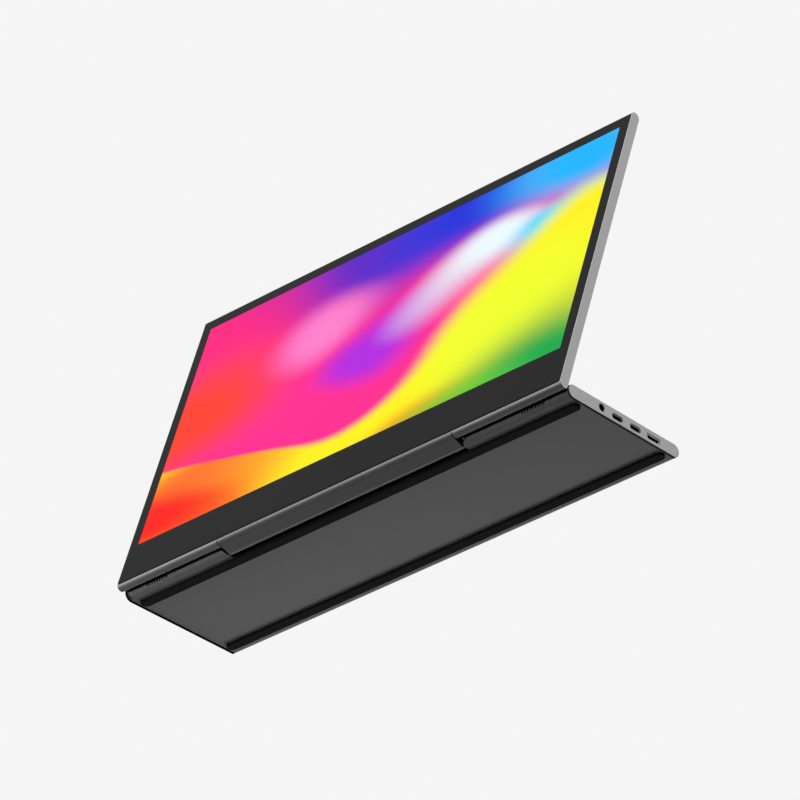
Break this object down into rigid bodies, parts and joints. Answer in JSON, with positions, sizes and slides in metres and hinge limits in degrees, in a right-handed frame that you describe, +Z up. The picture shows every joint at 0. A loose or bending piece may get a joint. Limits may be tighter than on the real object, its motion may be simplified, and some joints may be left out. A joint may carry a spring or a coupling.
{
  "type": "portable monitor with hinged base cover",
  "caption": "Thin flat-panel monitor on a full-width hinged base that holds the sockets, speakers and feet and folds flat against the back of the display.",
  "frame": {"origin": "centre of the bounding box in X and Y, on the plane of the rubber feet", "axes": "+X to the right as seen from in front of the screen, +Y back, away from the viewer, +Z up"},
  "size_m": [0.36, 0.107, 0.2315],
  "materials": {
    "anodised_housing": "fine blasted and anodised",
    "front_glass": "black-masked glass over the lit panel, polished",
    "lcd_cell": "glass cell with polarisers",
    "optical_film": "fine frosted film",
    "light_guide": "clear acrylic sheet",
    "reflector_film": "white microcellular film",
    "led_strip": "white strip with phosphor lamps",
    "panel_frame": "moulded, satin",
    "sheet_steel": "stamped sheet",
    "foam_tape": "closed-cell foam",
    "flex_circuit": "polyimide film",
    "circuit_board": "solder mask over fibreglass",
    "screw_steel": "plated",
    "cable_jacket": "satin jacket",
    "pin_steel": "ground",
    "bracket_steel": "stamped and zinc plated",
    "black_trim": "satin",
    "foot_rubber": "matt",
    "chip_epoxy": "moulded epoxy",
    "jack_body": "moulded",
    "socket_shell": "nickel plated shell",
    "speaker_case": "moulded",
    "slot_mesh": "black woven mesh",
    "switch_body": "moulded"
  },
  "bodies": {
    "base": {"base_top_housing": "anodised_housing", "base_bottom_cover": "anodised_housing", "left_trim": "black_trim", "right_trim": "black_trim", "front_foot": "foot_rubber", "rear_foot": "foot_rubber", "left_hinge_bracket": "bracket_steel", "right_hinge_bracket": "bracket_steel", "bracket_screws": "screw_steel", "main_board": "circuit_board", "board_screws": "screw_steel", "board_chips": "chip_epoxy", "board_shield": "sheet_steel", "audio_jack": "jack_body", "front_usb_c_socket": "socket_shell", "rear_usb_c_socket": "socket_shell", "mini_hdmi_socket": "socket_shell", "left_speaker": "speaker_case", "right_speaker": "speaker_case", "left_slot_mesh": "slot_mesh", "right_slot_mesh": "slot_mesh", "base_cable": "cable_jacket", "key_board": "circuit_board", "key_switches": "switch_body", "key_flex": "flex_circuit", "cover_screws": "screw_steel", "closing_bumpers": "foot_rubber"},
    "display": {"display_rear_housing": "anodised_housing", "front_glass": "front_glass", "lcd_cell": "lcd_cell", "diffuser_sheets": "optical_film", "light_guide": "light_guide", "reflector_sheet": "reflector_film", "led_strip": "led_strip", "panel_frame": "panel_frame", "panel_back_plate": "sheet_steel", "mounting_tapes": "foam_tape", "panel_flexes": "flex_circuit", "driver_board": "circuit_board", "driver_board_screws": "screw_steel", "display_cable": "cable_jacket", "hinge_spine": "anodised_housing", "spine_screws": "screw_steel", "left_hinge_pin": "pin_steel", "right_hinge_pin": "pin_steel"},
    "power_key": {"power_key": "anodised_housing"},
    "plus_key": {"plus_key": "anodised_housing"},
    "minus_key": {"minus_key": "anodised_housing"}
  },
  "joints": [
    {"name": "display_hinge", "type": "hinge", "parent": "base", "child": "display", "pos_m": [0, -0.04181, 0.00525], "axis": [1, 0, 0], "range_deg": [-72, 18]},
    {"name": "power_key_press", "type": "slide", "parent": "base", "child": "power_key", "axis": [1, 0, 0], "range_m": [0, 0.0004], "stiffness_N_per_m": 1200, "springref_m": -0.0004},
    {"name": "plus_key_press", "type": "slide", "parent": "base", "child": "plus_key", "axis": [1, 0, 0], "range_m": [0, 0.0004], "stiffness_N_per_m": 1200, "springref_m": -0.0004},
    {"name": "minus_key_press", "type": "slide", "parent": "base", "child": "minus_key", "axis": [1, 0, 0], "range_m": [0, 0.0004], "stiffness_N_per_m": 1200, "springref_m": -0.0004}
  ]
}
